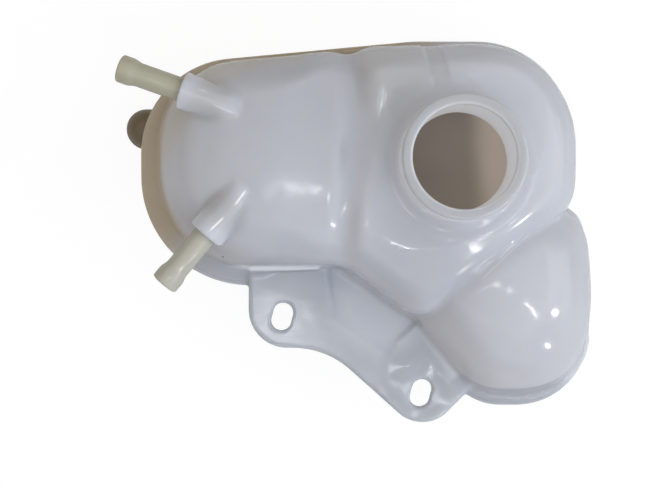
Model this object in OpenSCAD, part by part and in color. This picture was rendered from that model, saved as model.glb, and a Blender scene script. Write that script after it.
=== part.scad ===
// Coolant expansion tank: a blow-moulded translucent body with a threaded filler neck, three
// lobes that rise from a shoulder at the parting plane, a pinched bracket with two slots, two
// small hose spigots set in moulded collars and a larger outlet elbow low on the left.
// Origin: on the axis of the filler neck, in the plane of the flat base. +Z is up the neck,
// +X is towards the right lobe and +Y is towards the back edge.

/* [Shell] */
// Wall thickness of the moulded body
wall = 2.6; // [1.8:0.1:3.2]
// Height of the parting plane above the base
parting_z = 52; // [44:1:58]
// Width of the shoulder between the parting line and the foot of the lobes
shoulder_w = 8.3; // [7:0.1:10]
// Rise of the shoulder over its width
shoulder_rise = 5; // [3:0.5:7]
// Radius of the bottom edge of the lower half
base_edge_r = 15; // [8:1:18]
// Inward draft of the lower half from the parting line to the base
base_draft = 5; // [3:0.5:8]
// Inward draft of the lobe walls from foot to crown
lobe_draft = 3; // [1.5:0.5:4]

/* [Drum lobe] */
// Distance from the neck axis to the far end of the drum's foot
drum_end = 136.5; // [126:0.5:142]
// Distance from the neck axis to the valley between the drum and the main lobe
valley_x = 45; // [43:0.5:47]
// Back corner of the drum's foot, at its far end
drum_back = 47; // [45:0.5:48]
// Front edge of the drum's foot
drum_front = 46.5; // [42:0.5:50]
// Corner radius of the drum's far end, seen from above
drum_end_r = 46; // [40:1:48]
// Height of the drum's crown
drum_top = 94; // [90:0.5:98]
// Fall of the drum's crown at its far end
drum_fall = 24; // [16:1:28]
// Fall of the drum's crown at its back and front edges
drum_side_fall = 8; // [4:1:12]

/* [Main lobe] */
// Right edge of the main lobe's foot
main_right = 56.7; // [55:0.1:58]
// Back edge of the main lobe's foot
main_back = 57; // [55:0.5:58]
// Radius of the main lobe's back right corner, seen from above
main_corner_r = 48; // [40:1:50]
// Height of the main lobe's crown
main_top = 99; // [96:0.5:102]
// Fall of the main lobe's crown at its edges
main_fall = 6; // [3:0.5:8]

/* [Front lobe] */
// Right edge of the front lobe's foot
front_right = 65.4; // [62:0.2:67]
// Front edge of the front lobe's foot
front_front = 105.5; // [100:0.5:110]
// Height of the front lobe's crown
front_top = 89; // [84:0.5:92]
// Fall of the front lobe's crown at its edges
front_fall = 19; // [10:1:21]

/* [Filler neck] */
// Bore radius of the neck
neck_bore_r = 21.5; // [18:0.1:22.5]
// Wall of the neck over the crests of its thread
neck_wall = 4.4; // [3.6:0.1:4.8]
// Height of the rim above the base
rim_z = 122; // [114:1:130]
// Radius of the round land at the foot of the neck
land_r = 35; // [32:0.5:38]
// Height of the land above the base
land_z = 93; // [90:0.5:95]
// Width of the drain gutter that runs from the land to the back edge
gutter_w = 8; // [5:0.5:10]

/* [Bracket] */
// Thickness of the bracket's lands
bracket_t = 6; // [4:0.5:7]
// Depth of the pocket in the web between the lands
pocket_d = 2.6; // [1:0.1:3.5]
// Width of each fixing slot
slot_w = 9.4; // [8:0.1:11]
// Length of each fixing slot
slot_l = 13.2; // [12:0.1:16]
// Lean of the slots from the front-to-back direction
slot_lean = 15; // [0:1:25]

/* [Small spigots] */
// Outside radius of the spigot tubes
spigot_r = 5.3; // [4.5:0.1:6]
// Bore radius of the spigot tubes
spigot_bore_r = 3.4; // [2.5:0.1:3.8]
// Step of the hose bead above the tube
bead_step = 0.9; // [0.5:0.1:1.3]
// Length of the hose bead
bead_l = 5; // [4:0.5:7]
// Wall of the moulded collars around the tubes
collar_wall = 2.7; // [2:0.1:3.4]
// Height of the small spigots' axes above the base
spigot_z = 84; // [82:0.5:85]
// Radial clearance of a tube in its seat
seat_gap = 0.1; // [0.05:0.01:0.2]

/* [Outlet elbow] */
// Outside radius of the outlet elbow
outlet_r = 9.8; // [8:0.1:10.5]
// Bore radius of the outlet elbow
outlet_bore_r = 7.4; // [6:0.1:7.8]
// Height of the outlet's axis above the base
outlet_z = 31; // [28:0.5:34]

/* [Hidden] */
$fn = 64;
overlap = 1;

// Steps along each rounded corner and each straight edge of an outline, outside and in the hollow
outer_steps = [6, 4];
hollow_steps = [3, 2];
// Smallest radius that is left on a corner by an inset
corner_r_min = 2.5;
// Turn between the rings of a rounded edge, outside and in the hollow
outer_turn = 22.5;
hollow_turn = 45;
// The grid that the points of the lobes and halves lie on
point_grid = 0.01;

// Radii of the rounded upper edges of the lobes
drum_edge_r = 16;
main_edge_r = 12;
front_edge_r = 14;
// Points under the middle of each crown and of the lower half
drum_centre = [-drum_end + 52.5, 0];
main_centre = [-2, -4];
front_centre = [26, -62];
base_centre = [-15, -12];
// The lobe walls start below the parting plane and the shoulder runs on under the lobes
lobe_foot_z = parting_z - 3;
shoulder_run = 3;
shoulder_angle = atan(shoulder_rise / shoulder_w);

// Outlines, counter-clockwise: x, y and corner radius, negative where the corner is concave
drum_foot = [
    [-drum_end, -drum_front, drum_end_r],
    [-valley_x + 1, -drum_front, 10],
    [-valley_x + 6.2, drum_back + 6.9, 16],
    [-drum_end, drum_back, drum_end_r - 6]
];
main_foot = [
    [-14, -73, 14],
    [main_right, -20, 26],
    [main_right, main_back, main_corner_r],
    [-valley_x - 4, main_back - 2.6, 14],
    [-valley_x - 9, -43, 13]
];
front_foot = [
    [12, -front_front, 26],
    [front_right - 3, -front_front, 30],
    [front_right + 1, -62, 80],
    [front_right - 3, 2, 22],
    [-26, -58, 20]
];
base_outline = [
    [-drum_end - shoulder_w + 1.2, -drum_front - shoulder_w - 0.2, 51],
    [-84, -drum_front - shoulder_w - 0.2, 10],
    [-72, -drum_front - 2, -12],
    [-valley_x - 11, -drum_front - 2, -6],
    [-15.5, -76, -6],
    [11, -front_front - shoulder_w + 2.5, 28],
    [front_right - 1.5, -front_front - shoulder_w + 2.5, 34],
    [front_right + 2.4, -62, 80],
    [front_right - 2, -22, 14],
    [main_right - 4, -16.5, -5],
    [main_right + 2, -4, 30],
    [main_right + 2.5, main_back + 2.6, main_corner_r - 3],
    [0, main_back + 2.5, 60],
    [-drum_end - shoulder_w + 0.5, drum_back + 0.8, 45]
];

bracket_outline = [
    [-93.3, -84, 18],
    [-57, -84.4, -40],
    [-11.4, -125, 16.5],
    [20, -94, 4],
    [10, -50, 4],
    [-93, -38, 4]
];
bracket_top = parting_z + 4;
slots = [[-77.5, -69.6], [-12.7, -105.3]];
// The web between the lands is recessed: it fades out along a line and ends at two steps
pocket_fade = [[-55.3, -69], [-26.4, -89]];
pocket_outline = [
    [-54.6, -75], [-28.9, -94], [-22.7, -81.6], [-10, -70], [-14, -55], [-50, -38], [-57.7, -47.5]
];
pocket_run = 24;
flash_t = 1.2;
flash_w = 0.7;

neck_r = neck_bore_r + neck_wall;
root_r = 5;
lip_r = 1.2;
recess_centre = [-2, 1.5];
recess_r = land_r - 1.5;
recess_lean = 42;
gutter_x = 0.6;
gutter_lean = 12.3;
gutter_slope = 2;

collar_r = spigot_r + collar_wall;
collar_tip_r = spigot_r - 0.3;
collar_l = 26;
upper_collar = [-drum_end + 16.2, drum_back - 14.8];
upper_angle = 160.5;
upper_spigot_l = 29.3;
lower_collar = [-drum_end + 26.5, -drum_front + 14.9];
lower_angle = 229.6;
lower_spigot_l = 28.4;
seat_l = 12;
seat_step = 0.5;
seat_end_gap = 4;
bead_ramp = 3;
bead_chamfer = 0.8;

outlet_x = -drum_end - shoulder_w + 0.3;
outlet_y = 20.3;
scallop_gap = 2.5;
scallop_r = outlet_r + scallop_gap;
outlet_tube_r = outlet_r - 1;
outlet_leg_l = 26;
// The stub's shoulder ends short of the scallop's wall and its tube runs on into the tank
outlet_shoulder_l = sqrt(pow(scallop_r, 2) - pow(outlet_r, 2)) - seat_gap;
outlet_stub_l = scallop_r + wall + 4;

// Turn from angle a to angle b, from -180 to 180
function turn(a, b) = (b - a) - 360 * floor((b - a + 180) / 360);
// Outward direction of the edge from p to q of a counter-clockwise outline
function edge_angle(p, q) = atan2(q.y - p.y, q.x - p.x) - 90;
function unit(a) = [cos(a), sin(a)];

// Arc that rounds the corner c between p and q once its edges have moved inward by an inset
function corner_arc(p, c, q, inset, steps) =
    let (a = edge_angle(p, c), t = turn(a, edge_angle(c, q)))
    let (n = unit(a), m = unit(a + t))
    let (r = c.z < 0 ? c.z - inset : max(c.z - inset, corner_r_min))
    let (centre = [c.x, c.y] - (inset + r) * (n + m) / (1 + n * m))
    [for (j = [0:steps]) centre + r * unit(a + t * j / steps)];

// An outline's points, moved inward by an inset; a detail gives its steps along each corner
// and each straight edge
function ring(outline, inset, detail) =
    let (count = len(outline))
    let (arcs = [for (i = [0:count - 1]) corner_arc(outline[(i + count - 1) % count],
        outline[i], outline[(i + 1) % count], inset, detail[0])])
    [for (i = [0:count - 1]) let (last = arcs[i][detail[0]], next = arcs[(i + 1) % count][0])
        each concat(arcs[i], [for (j = [1:detail[1] - 1]) let (f = j / detail[1])
            last * (1 - f) + next * f])];
function at_height(points, z) = [for (p = points) [p.x, p.y, z]];
function towards(points, centre, f) = [for (p = points) p + (centre - p) * f];

// Closed solid through a stack of rings, lowest first, with a centre point under and over them;
// its points lie on a fine grid, so that it stays a clean mesh where another solid cuts it
module skin(rings, low, high) {
    n = len(rings[0]);
    points = [for (p = concat([low], [for (r = rings) each r], [high]))
        [for (v = p) round(v / point_grid) * point_grid]];
    top = len(points) - 1;
    polyhedron(points, concat(
        [for (i = [0:n - 1]) [0, 1 + i, 1 + (i + 1) % n]],
        [for (k = [0:len(rings) - 2], i = [0:n - 1])
            let (a = 1 + k * n + i, b = 1 + k * n + (i + 1) % n)
            each [[a, a + n, b + n], [a, b + n, b]]],
        [for (i = [0:n - 1]) [top, top - n + (i + 1) % n, top - n + i]]
    ), convexity = 6);
}

// Moulded lobe: drafted walls from the foot, a rounded upper edge and a crown that the
// function crown(p) gives; inset moves every wall inward for the hollow
module lobe(outline, centre, foot_z, edge_r, inset, crown) {
    detail = inset > 0 ? hollow_steps : outer_steps;
    step = inset > 0 ? hollow_turn : outer_turn;
    r = edge_r - inset;
    start = inset + lobe_draft;
    edge = ring(outline, start + r, detail);
    skin(
        concat(
            [at_height(ring(outline, inset, detail), foot_z)],
            [for (a = [0:step:90]) [for (p = ring(outline, start + r * (1 - cos(a)), detail))
                [p.x, p.y, crown(p) - inset - r * (1 - sin(a))]]],
            [for (f = inset > 0 ? [0.5] : [0.25, 0.5, 0.75]) [for (p = towards(edge, centre, f))
                [p.x, p.y, crown(p) - inset]]]
        ),
        [centre.x, centre.y, foot_z],
        [centre.x, centre.y, crown(centre) - inset]
    );
}

// Crown heights of the three lobes over the point p
drum_run = 64.5;
drum_peak = [drum_run - drum_end, 3];
main_peak = [-18, 18];
front_peak = [28, -52];
front_run = 50;
function drum_crown(p) =
    drum_top
    - drum_fall * pow(max(0, (drum_peak.x - p.x) / drum_run), 2)
    - drum_side_fall * pow((p.y - drum_peak.y) / drum_back, 2);
function main_crown(p) = main_top - main_fall * pow(norm(p - main_peak) / main_right, 2);
function front_crown(p) = front_top - front_fall * pow(norm(p - front_peak) / front_run, 2);

module drum_lobe(inset) {
    lobe(drum_foot, drum_centre, lobe_foot_z, drum_edge_r, inset, function(p) drum_crown(p));
}

module lobes(inset) {
    drum_lobe(inset);
    lobe(main_foot, main_centre, lobe_foot_z, main_edge_r, inset, function(p) main_crown(p));
    lobe(front_foot, front_centre, lobe_foot_z, front_edge_r, inset, function(p) front_crown(p));
}

// Height of the shoulder's plane at a distance inside the parting line
function shoulder_height(d) = parting_z + shoulder_rise * d / shoulder_w;

// Lower half up to the parting line, and the shoulder that runs on under the lobes
module lower_half(inset) {
    detail = inset > 0 ? hollow_steps : outer_steps;
    step = inset > 0 ? hollow_turn : outer_turn;
    r = base_edge_r - inset;
    start = inset + base_draft;
    cover = inset / cos(shoulder_angle);
    top_inset = inset + shoulder_w + shoulder_run;
    top = shoulder_height(top_inset) - cover;
    skin(
        concat(
            [for (a = [90:-step:0]) at_height(
                ring(base_outline, start + r * (1 - cos(a)), detail), inset + r * (1 - sin(a)))],
            [at_height(ring(base_outline, inset, detail), shoulder_height(inset) - cover)],
            [at_height(ring(base_outline, top_inset, detail), top)]
        ),
        [base_centre.x, base_centre.y, inset],
        [base_centre.x, base_centre.y, top]
    );
}

// Upright scallop in the far wall that clears the outlet's downward leg
module outlet_scallop(grow) {
    translate([outlet_x, outlet_y, -1])
        cylinder(r = scallop_r + grow, h = parting_z - shoulder_rise + grow);
}

// Thin bead of flash along the parting line
module flash() {
    translate([0, 0, parting_z - flash_t / 2]) linear_extrude(flash_t)
        polygon(ring(base_outline, -flash_w, [outer_steps[0], 1]));
}

// Pinched bracket: one plate at the parting plane, recessed between its two lands
module bracket() {
    run = pocket_fade[1] - pocket_fade[0];
    difference() {
        translate([0, 0, bracket_top - bracket_t]) linear_extrude(bracket_t)
            polygon(ring(bracket_outline, 0, [outer_steps[0], 1]));
        intersection() {
            translate([0, 0, bracket_top - bracket_t]) linear_extrude(2 * bracket_t)
                polygon(pocket_outline);
            translate([pocket_fade[0].x, pocket_fade[0].y, bracket_top])
                rotate([0, 0, atan2(run.y, run.x)]) rotate([-atan(pocket_d / pocket_run), 0, 0])
                translate([-pocket_run, -pocket_run, 0])
                cube([4 * pocket_run, 3 * pocket_run, 2 * bracket_t]);
        }
    }
}

// Round land at the foot of the neck, sunk in the crown behind and proud of it in front
module land() {
    translate([0, 0, land_z - 12]) cylinder(r1 = land_r + 3, r2 = land_r, h = 12);
}
module land_recess(grow) {
    foot_r = recess_r + grow / cos(recess_lean);
    translate([recess_centre.x, recess_centre.y, land_z - grow])
        cylinder(r1 = foot_r, r2 = foot_r + (10 + grow) * tan(recess_lean), h = 10 + grow);
}

// Drain gutter that falls from the land to the back edge of the main lobe
module gutter(grow) {
    translate([gutter_x, 0, land_z - 0.2 - grow]) rotate([0, 0, gutter_lean])
        translate([-gutter_w / 2 - grow, land_r - 6, 0]) rotate([-gutter_slope, 0, 0])
        cube([gutter_w + 2 * grow, 45, 20]);
}

// Everything moulded that carries no fit, as one mesh
module moulded_shell() {
    resize([0, 0, 0]) difference() {
        union() {
            lower_half(0);
            lobes(0);
            flash();
            bracket();
            land();
        }
        outlet_scallop(0);
        land_recess(0);
        gutter(0);
        hollow();
        translate([0, 0, land_z - 20]) cylinder(r = neck_bore_r + neck_wall / 2, h = 30);
    }
}

// The inside of the tank below the neck
module hollow() {
    difference() {
        lower_half(wall);
        outlet_scallop(wall);
    }
    difference() {
        lobes(wall);
        land_recess(wall);
        gutter(wall);
    }
}

// Neck with a flared root: revolved profile, bore left for the final cut
module neck() {
    rotate_extrude() polygon(concat(
        [[neck_bore_r - overlap, land_z - wall / 2], [neck_r + root_r, land_z - wall / 2]],
        [for (a = [270:-15:180]) [neck_r + root_r + root_r * cos(a), land_z + root_r * (1 + sin(a))]],
        [for (a = [0:22.5:90]) [neck_r - lip_r * (1 - cos(a)), rim_z - lip_r * (1 - sin(a))]],
        [for (a = [90:22.5:180]) [neck_bore_r + lip_r * (1 + cos(a)), rim_z - lip_r * (1 - sin(a))]],
        [[neck_bore_r - overlap, rim_z - lip_r]]
    ));
}

// Places a shape that lies along +X at the mouth of a collar, pointing out of the tank
module at_upper_collar() {
    translate([upper_collar.x, upper_collar.y, spigot_z]) rotate([0, 0, upper_angle]) children();
}
module at_lower_collar() {
    translate([lower_collar.x, lower_collar.y, spigot_z]) rotate([0, 0, lower_angle]) children();
}

// Moulded collar: a round boss that tapers as it runs back into the drum, open to its hollow
module collar_boss() {
    translate([-collar_l, 0, 0]) rotate([0, 90, 0])
        cylinder(r1 = collar_tip_r, r2 = collar_r, h = collar_l);
}
module collar_bore() {
    translate([-seat_l - seat_end_gap, 0, 0]) rotate([0, 90, 0])
        cylinder(r = spigot_r, h = seat_l + seat_end_gap + overlap);
}

module tank_body() {
    color("#dfe3ea")
    difference() {
        union() {
            moulded_shell();
            neck();
            difference() {
                union() {
                    at_upper_collar() collar_boss();
                    at_lower_collar() collar_boss();
                }
                drum_lobe(wall);
            }
        }
        translate([0, 0, land_z - 20]) cylinder(r = neck_bore_r, h = rim_z);
        at_upper_collar() collar_bore();
        at_lower_collar() collar_bore();
        translate([outlet_x, outlet_y, outlet_z]) rotate([0, 90, 0])
            cylinder(r = outlet_tube_r + seat_gap, h = outlet_stub_l + overlap);
        for (p = slots) translate([p.x, p.y, 0]) rotate([0, 0, -slot_lean]) slot();
    }
}

// Slot with round ends, its long way along Y
module slot() {
    reach = (slot_l - slot_w) / 2;
    translate([0, 0, parting_z - 10]) {
        for (y = [-reach, reach]) translate([0, y, 0]) cylinder(r = slot_w / 2, h = 20);
        translate([-slot_w / 2, -reach, 0]) cube([slot_w, 2 * reach, 20]);
    }
}

// Hose spigot: a tube with a bead at its tip and a seat that is a little slimmer, in a collar
module small_spigot(out_l) {
    tip = spigot_r + bead_step;
    seat_r = spigot_r - seat_gap;
    rotate([0, 90, 0]) rotate_extrude() polygon([
        [spigot_bore_r, -seat_l],
        [seat_r, -seat_l],
        [seat_r, seat_step],
        [spigot_r, seat_step],
        [spigot_r, out_l - bead_l - bead_ramp],
        [tip, out_l - bead_l],
        [tip, out_l - bead_chamfer],
        [tip - bead_chamfer, out_l],
        [spigot_bore_r, out_l]
    ]);
}

module upper_spigot() {
    color("#d6d2bc") at_upper_collar() small_spigot(upper_spigot_l);
}

module lower_spigot() {
    color("#d6d2bc") at_lower_collar() small_spigot(lower_spigot_l);
}

// Outlet elbow: a stub seated in the far wall, a round knee and a leg that points down and ends
// in a hose bead
module outlet_elbow() {
    color("#8f7d5e")
    translate([outlet_x, outlet_y, outlet_z]) difference() {
        union() {
            sphere(r = outlet_r);
            rotate([0, 90, 0]) cylinder(r = outlet_r, h = outlet_shoulder_l);
            rotate([0, 90, 0]) cylinder(r = outlet_tube_r, h = outlet_stub_l);
            rotate([180, 0, 0]) rotate_extrude() polygon([
                [0, 0],
                [outlet_tube_r, 0],
                [outlet_tube_r, outlet_leg_l - bead_l - bead_ramp],
                [outlet_r, outlet_leg_l - bead_l],
                [outlet_r, outlet_leg_l - bead_chamfer],
                [outlet_r - bead_chamfer, outlet_leg_l],
                [0, outlet_leg_l]
            ]);
        }
        sphere(r = outlet_bore_r);
        rotate([0, 90, 0]) cylinder(r = outlet_bore_r, h = outlet_stub_l + overlap);
        rotate([180, 0, 0]) cylinder(r = outlet_bore_r, h = outlet_leg_l + overlap);
    }
}

tank_body();
upper_spigot();
lower_spigot();
outlet_elbow();
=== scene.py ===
"""Coolant expansion tank, seen from straight above its filler neck.

The tank's skin is one field of signed distances in millimetres: outlines in plan, drafted walls,
falling crowns and soft unions. It is meshed as a net, settled on the field and joined to a neck
with a real thread. The frame is the CAD model's: metres, the neck's axis along +Z.
"""

import math

import bpy
import numpy as np
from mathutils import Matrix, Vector


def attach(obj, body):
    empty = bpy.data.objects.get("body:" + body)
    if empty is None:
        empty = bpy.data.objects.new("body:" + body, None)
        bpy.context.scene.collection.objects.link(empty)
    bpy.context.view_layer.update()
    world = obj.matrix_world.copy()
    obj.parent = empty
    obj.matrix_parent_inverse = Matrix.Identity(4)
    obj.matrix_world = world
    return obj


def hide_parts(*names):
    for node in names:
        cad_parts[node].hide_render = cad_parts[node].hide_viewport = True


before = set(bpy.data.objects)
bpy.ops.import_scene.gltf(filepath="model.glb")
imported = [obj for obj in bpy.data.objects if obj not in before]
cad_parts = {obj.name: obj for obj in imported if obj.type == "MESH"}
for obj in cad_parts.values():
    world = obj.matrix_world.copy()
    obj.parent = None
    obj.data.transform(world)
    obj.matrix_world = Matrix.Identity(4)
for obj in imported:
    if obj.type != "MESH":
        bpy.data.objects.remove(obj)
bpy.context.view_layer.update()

MM = 0.001

# Heights and walls of the moulded body
WALL = 2.6
PARTING_Z = 52.0
SHOULDER_W = 8.3
SHOULDER_RISE = 5.0
SHOULDER_RUN = 3.0
BASE_EDGE_R = 15.0
BASE_DRAFT = 5.0
LOBE_DRAFT = 3.0
LOBE_FOOT_Z = 49.0
LOBE_H = 45.0
LOBE_SKIRT = 15.0
LEDGE_STEP = 0.5
LEDGE_RIM = 1.3

# Flash at the parting line: the even bead, and the ragged strip round the front lobe's foot
SEAM_W, SEAM_HALF_H = 0.7, 1.7
FLASH_CENTRE = (30.0, -60.0)
FLASH_TEETH_N = 64
FLASH_SPAN = (11, 28)
FLASH_H, FLASH_OUT, FLASH_W = 1.7, 1.6, 0.8

# Outlines, counter-clockwise: x, y and corner radius, negative where the corner is concave
DRUM_FOOT = [
    (-136.5, -46.5, 46), (-44, -46.5, 10), (-38.8, 53.9, 16), (-136.5, 47, 40),
]
MAIN_FOOT = [
    (-14, -73, 14), (56.7, -20, 26), (56.7, 57, 48), (-49, 54.4, 14), (-54, -43, 13),
]
FRONT_FOOT = [
    (12, -105.5, 26), (62.4, -105.5, 30), (66.4, -62, 80), (62.4, 2, 22), (-26, -58, 20),
]
BASE = [
    (-143.6, -55, 51), (-84, -55, 10), (-72, -48.5, -12), (-56, -48.5, -6), (-15.5, -76, -6),
    (11, -111.3, 28), (64, -111.3, 34), (67.8, -62, 80), (63.4, -22, 14), (52.7, -16.5, -5),
    (58.7, -4, 30), (59.2, 59.6, 45), (-16, 59.7, 60), (-144.3, 47.8, 45),
]
BRACKET = [
    (-93.3, -84, 18), (-57, -84.4, -40), (-11.4, -125, 16.5), (20, -94, 4), (10, -50, 4),
    (-93, -38, 4),
]
POCKET = [
    (-54.6, -75, 1), (-28.9, -94, 1), (-22.7, -81.6, -3), (-10, -70, 3), (-14, -55, 1),
    (-50, -38, 1), (-57.7, -47.5, 1),
]
BRACKET_TOP = 56.0
BRACKET_T = 6.0
POCKET_FADE = ((-55.3, -69.0), (-26.4, -89.0))
POCKET_SLOPE = 2.8 / 24
POCKET_RAMP = 3.0
SLOTS = ((-77.5, -69.6), (-12.7, -105.3))
SLOT_R = 4.7
SLOT_REACH = 1.9
SLOT_LEAN = 15.0
SLOT_EDGE = 1.4
PLATE_EDGE_R, PLATE_UNDER_R = 1.8, 1.0
PAD_R, PAD_W, PAD_H, PAD_TURN = 14.5, 4.6, (0.06, 0.62), 1.75
ROLL = ((-91.5, -47.0), (-61.5, -46.0))
ROLL_RISE, ROLL_R = 0.6, 1.5

# Crowns, rounded upper edges and valleys; a pair is the span from one side to the other
DRUM_TOP, DRUM_FALL, DRUM_SIDE_FALL = 94.0, 24.0, 8.0
MAIN_TOP, MAIN_FALL = 99.0, 6.0
FRONT_TOP, FRONT_FALL = 90.0, 20.0
DRUM_EDGE_R, MAIN_EDGE_R, FRONT_EDGE_R = (11, 19), (12, 20), 17
CROWN_SHARE = 0.95
VALLEY_W, FRONT_VALLEY_W = (3, 8), 4
CREASE_H, CREASE_W, CREASE_OFF = 0.35, 0.9, 2.2

# Widths of the soft joins between the parts of the skin
SCALLOP_BLEND = 1.5
PLATE_BLEND = 2.0
LAND_BLEND = (0.4, 3.0)
FOOT_BLEND = (0.9, 2.6)
ROLL_BLEND = 1.2
INSIDE_BLEND, INSIDE_SCALLOP_BLEND = 2.4, 2.0

# Neck, land and gutter
BORE_R = 21.5
NECK_R = 25.9
RIM_Z = 122.0
LAND_R = 35.0
LAND_Z = 93.0
LAND_SLOPE, LAND_EDGE_R, LAND_SKIRT = 0.25, 1.6, 12.0
ROOT_R = 5.0
LIP_R = 1.2
THREAD_DEPTH = 1.5
THREAD_PITCH = 4.5
THREAD_Z = (101.0, 119.6)
THREAD_CREST, THREAD_FLANK, THREAD_FADE = 1.9, 4.4, 1.6
THREAD_ROW = 0.45
DISH_R, DISH_W = 30.5, 24.0
GUTTER_X, GUTTER_LEAN, GUTTER_START = 0.6, 12.3, 30.0
GUTTER_HALF_W, GUTTER_EDGE, GUTTER_DEPTH = 4.0, 0.9, 0.6

# Collars, spigots and outlet
COLLAR_R = 8.6
COLLAR_L = 27.0
COLLAR_EDGE_R = 0.9
COLLAR_TIP_R, COLLAR_BLEND = (5.8, 7.2), (3.0, 1.6)
SEAT_L = 4.0
SEAT_GAP, SEAT_END_GAP = 0.15, 0.3
SPIGOT_Z = 84.0
SPIGOT_R = 5.3
SPIGOT_BORE_R = 3.4
BEAD_STEP = 0.9
BEAD_L = 5.0
UPPER_COLLAR = (-120.3, 32.2, 160.5)
LOWER_COLLAR = (-110.0, -31.6, 229.6)
SPIGOT_L = {"upper_spigot": 29.3, "lower_spigot": 28.4}
OUTLET = (-144.47, 20.3, 31.0)
OUTLET_R = 9.8
OUTLET_BORE_R = 7.4
OUTLET_LEG_L = 26.0
OUTLET_STUB_L, OUTLET_SEAT_L = 11.0, 19.0
OUTLET_STEP, OUTLET_BEAD_L, OUTLET_BEAD_EDGE = 1.0, 5.0, 1.2
SCALLOP_R = 12.3
SCALLOP_TOP_Z = PARTING_Z - 5

# Nets
OUTER_STEP = 1.25
INNER_STEP = 4.0
OUTLET_NET_STEP = 0.8
NECK_CUT_R = 31.3
BORE_CUT_R = 27.0
NECK_SIDES = 216


def round_max(a, b, r):
    """Intersection of two fields whose shared edge is rounded to radius r."""
    u, v = np.maximum(a + r, 0), np.maximum(b + r, 0)
    return np.minimum(np.maximum(a, b) + r, 0) + np.sqrt(u * u + v * v) - r


def smooth_min(a, b, k):
    """Union of two fields with a soft valley about k wide."""
    h = np.maximum(k - np.abs(a - b), 0) / k
    return np.minimum(a, b) - h * h * k / 4


def smooth_max(a, b, k):
    """Intersection of two fields with a soft edge about k wide."""
    return -smooth_min(-a, -b, k)


def unit(degrees):
    """The direction at an angle in plan."""
    return np.array([math.cos(math.radians(degrees)), math.sin(math.radians(degrees))])


def rounded(corners, steps=20):
    """Points of a closed outline with each corner rounded."""
    points = []
    for i, (x, y, r) in enumerate(corners):
        before, after = corners[i - 1], corners[(i + 1) % len(corners)]
        a = math.degrees(math.atan2(y - before[1], x - before[0])) - 90
        b = math.degrees(math.atan2(after[1] - y, after[0] - x)) - 90
        turn = (b - a + 180) % 360 - 180
        n, m = unit(a), unit(a + turn)
        centre = np.array([x, y]) - r * (n + m) / (1 + n @ m)
        points += [centre + r * unit(a + turn * j / steps) for j in range(steps + 1)]
    return np.array(points)


class Plan:
    """Signed distance in plan to a closed outline, negative inside, as a soft spline grid."""

    low = np.array([-165.0, -135.0])
    size = (245, 205)

    def __init__(self, corners, soften):
        outline = rounded(corners)
        x = self.low[0] + np.arange(self.size[0])[:, None]
        y = self.low[1] + np.arange(self.size[1])[None, :]
        nearest = np.full(self.size, 1e9)
        inside = np.zeros(self.size, bool)
        for (ax, ay), (bx, by) in zip(outline, np.roll(outline, -1, 0)):
            dx, dy = bx - ax, by - ay
            length2 = dx * dx + dy * dy
            if length2 < 1e-9:
                continue
            t = np.clip(((x - ax) * dx + (y - ay) * dy) / length2, 0, 1)
            nearest = np.minimum(nearest, (x - ax - t * dx) ** 2 + (y - ay - t * dy) ** 2)
            if dy:
                inside ^= ((ay > y) != (by > y)) & (x < ax + (y - ay) * dx / dy)
        self.grid = self.blur(np.sqrt(nearest) * np.where(inside, -1, 1), soften)

    @staticmethod
    def blur(grid, width):
        """The grid smoothed by a bell of this width along both axes."""
        reach = int(3 * width) + 1
        weights = np.exp(-0.5 * (np.arange(-reach, reach + 1) / width) ** 2)
        weights /= weights.sum()
        for axis in (0, 1):
            pad = [(0, 0), (0, 0)]
            pad[axis] = (reach, reach)
            wide = np.pad(grid, pad, mode="edge")
            count = grid.shape[axis]
            grid = sum(w * wide.take(range(k, k + count), axis) for k, w in enumerate(weights))
        return grid

    @staticmethod
    def weights(t):
        """Shares of the four grid values about a place, as a cubic spline has them."""
        return (
            (1 - t) ** 3 / 6, (3 * t ** 3 - 6 * t ** 2 + 4) / 6,
            (-3 * t ** 3 + 3 * t ** 2 + 3 * t + 1) / 6, t ** 3 / 6,
        )

    def __call__(self, x, y):
        u, v = x - self.low[0] + 0 * y, y - self.low[1] + 0 * x
        i = np.clip(u.astype(int), 1, self.size[0] - 3)
        j = np.clip(v.astype(int), 1, self.size[1] - 3)
        total = 0
        across = self.weights(v - j)
        for a, wa in enumerate(self.weights(u - i)):
            for b, wb in enumerate(across):
                total = total + wa * wb * self.grid[i + a - 1, j + b - 1]
        return total


drum_plan = Plan(DRUM_FOOT, 2.5)
main_plan = Plan(MAIN_FOOT, 2.5)
front_plan = Plan(FRONT_FOOT, 2.5)
base_plan = Plan(BASE, 1.2)
bracket_plan = Plan(BRACKET, 0.6)
pocket_plan = Plan(POCKET, 0.8)


def ease(t):
    """From 0 to 1 with a soft start and end."""
    t = np.clip(t, 0, 1)
    return t * t * (3 - 2 * t)


def grow(span, t):
    """From a span's first value to its second as t goes from 0 to 1."""
    return span[0] + (span[1] - span[0]) * ease(t)


def drum_crown(x, y):
    """The drum's crown, falling to its round end and to both sides."""
    end = np.maximum(0, (-72 - x) / 64.5)
    return DRUM_TOP - DRUM_FALL * end ** 2 - DRUM_SIDE_FALL * ((y - 3) / 47) ** 2


def main_crown(x, y):
    """The main lobe's crown, dished softly down to the round land at the neck's foot."""
    top = MAIN_TOP - MAIN_FALL * ((x + 18) ** 2 + (y - 18) ** 2) / 56.5 ** 2
    above = np.maximum(top - LAND_Z, 0)
    return top - above * (1 - ease((np.hypot(x, y) - DISH_R) / DISH_W))


def front_crown(x, y):
    """The front lobe's crown, a shallow dome."""
    return FRONT_TOP - FRONT_FALL * ((x - 27) ** 2 + (y + 51) ** 2) / 50 ** 2


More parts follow.
